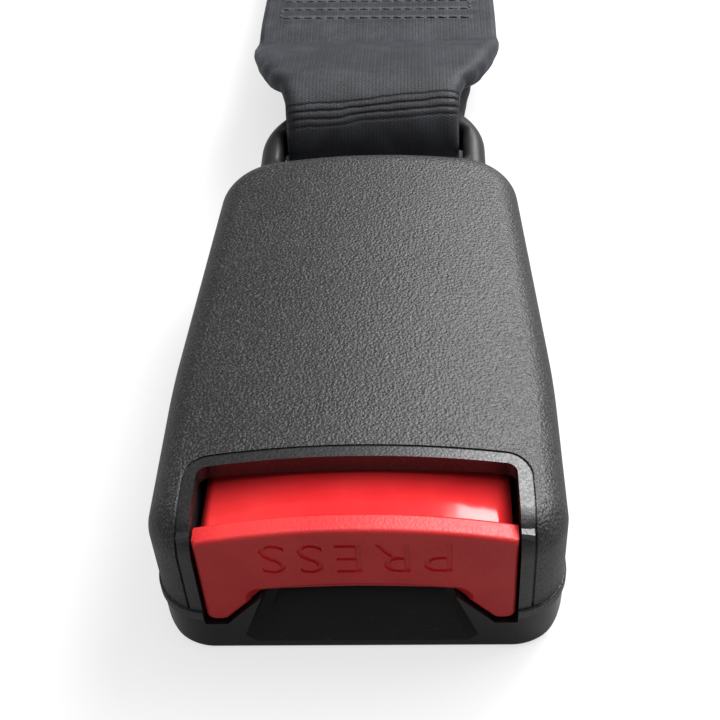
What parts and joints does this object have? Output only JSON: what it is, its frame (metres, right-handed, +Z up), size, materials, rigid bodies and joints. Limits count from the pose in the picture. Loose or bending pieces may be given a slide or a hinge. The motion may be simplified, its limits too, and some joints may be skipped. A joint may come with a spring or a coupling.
{
  "type": "seat belt extender",
  "caption": "Push-button buckle on a short sewn webbing strap that ends in a latch tongue, with its sprung latch and ejector inside.",
  "frame": {"origin": "middle of the flat underside of the buckle's housing", "axes": "+Z up from the underside, +Y along the strap from the buckle towards the tongue, +X to the right when looking along +Y; the buckle's mouth faces -Y"},
  "size_m": [0.062, 0.2793, 0.0258],
  "materials": {
    "grained_black": "fine spark-eroded grain",
    "gloss_black": "smooth, polished",
    "satin_black": "smooth, satin",
    "red_plastic": "smooth top, fine grain on the lip and face",
    "zinc_steel": "zinc plated, satin",
    "hard_steel": "hardened, dark",
    "bright_steel": "polished nickel plate",
    "spring_steel": "drawn wire",
    "pale_plastic": "natural acetal",
    "black_webbing": "woven polyester with a soft sheen"
  },
  "bodies": {
    "buckle": {"upper_cover": "grained_black", "lower_cover": "gloss_black", "frame": "zinc_steel", "anchor_plate": "zinc_steel", "anchor_rivets": "zinc_steel", "anchor_sleeve": "satin_black", "pivot_pin": "bright_steel", "pivot_clip": "spring_steel", "spring_block": "pale_plastic", "ejector_spring": "spring_steel", "latch_spring": "spring_steel", "button_spring_right": "spring_steel", "button_spring_left": "spring_steel"},
    "button": {"press_button": "red_plastic"},
    "latch": {"latch_plate": "hard_steel", "lift_pin": "bright_steel"},
    "ejector": {"ejector": "pale_plastic"},
    "strap": {"webbing_strap": "black_webbing"},
    "tongue": {"tongue_plate": "bright_steel", "tongue_grip": "grained_black"}
  },
  "joints": [
    {"name": "button_press", "type": "slide", "parent": "buckle", "child": "button", "axis": [0, 1, 0], "range_m": [0, 0.0055], "stiffness_N_per_m": 1200, "springref_m": -0.004, "deforming": ["button_spring_right", "button_spring_left"]},
    {"name": "latch_pivot", "type": "hinge", "parent": "buckle", "child": "latch", "pos_m": [0, 0.008, 0.0154], "axis": [-1, 0, 0], "range_deg": [0, 10], "deforming": ["latch_spring"]},
    {"name": "ejector_travel", "type": "slide", "parent": "buckle", "child": "ejector", "axis": [0, 1, 0], "range_m": [0, 0.0126], "stiffness_N_per_m": 250, "springref_m": -0.008, "deforming": ["ejector_spring"]},
    {"name": "webbing_swing", "type": "hinge", "parent": "buckle", "child": "strap", "pos_m": [0, 0.063, 0.0122], "axis": [1, 0, 0], "range_deg": [-100, 110]},
    {"name": "tongue_swing", "type": "hinge", "parent": "strap", "child": "tongue", "pos_m": [0, 0.176, 0.0054], "axis": [1, 0, 0], "range_deg": [-100, 100]}
  ],
  "couplings": [
    {"joint": "latch_pivot", "follows": "button_press", "rad_per_m": 31.73}
  ]
}
